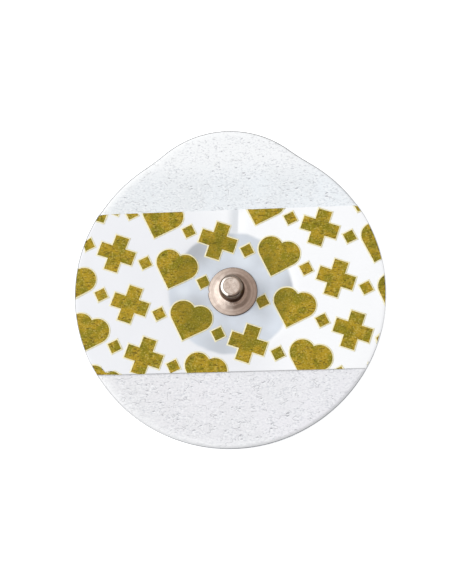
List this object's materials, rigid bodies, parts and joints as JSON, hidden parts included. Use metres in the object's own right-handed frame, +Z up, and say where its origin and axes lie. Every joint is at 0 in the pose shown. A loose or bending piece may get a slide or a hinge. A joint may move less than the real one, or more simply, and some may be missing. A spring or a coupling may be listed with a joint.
{
  "type": "ecg electrode",
  "caption": "Disposable foam snap electrode with a pull tab, a gel disc, a sensor eyelet, a printed film strip and a metal snap stud, on its clear release liner.",
  "frame": {"origin": "under the snap stud's axis, on the underside of the release liner", "axes": "+Z up through the snap stud, +Y towards the pull tab, X across the pad"},
  "size_m": [0.0482, 0.0502, 0.0056],
  "materials": {
    "liner": "clear polyester sheet",
    "adhesive": "clear tacky layer",
    "foam": "white closed-cell foam, finely pitted",
    "gel": "pale blue-grey clear gel, wet",
    "sensor": "silver chloride coat, dull grey",
    "film": "white film, satin",
    "ink": "ochre gold printing ink",
    "stud": "warm grey nickel plate, drawn sheet"
  },
  "bodies": {
    "root": {"release_liner": "liner", "skin_adhesive": "adhesive", "foam_pad": "foam", "gel_disc": "gel", "sensor_eyelet": "sensor", "label_film": "film", "label_print": "ink", "snap_stud": "stud"}
  },
  "joints": []
}
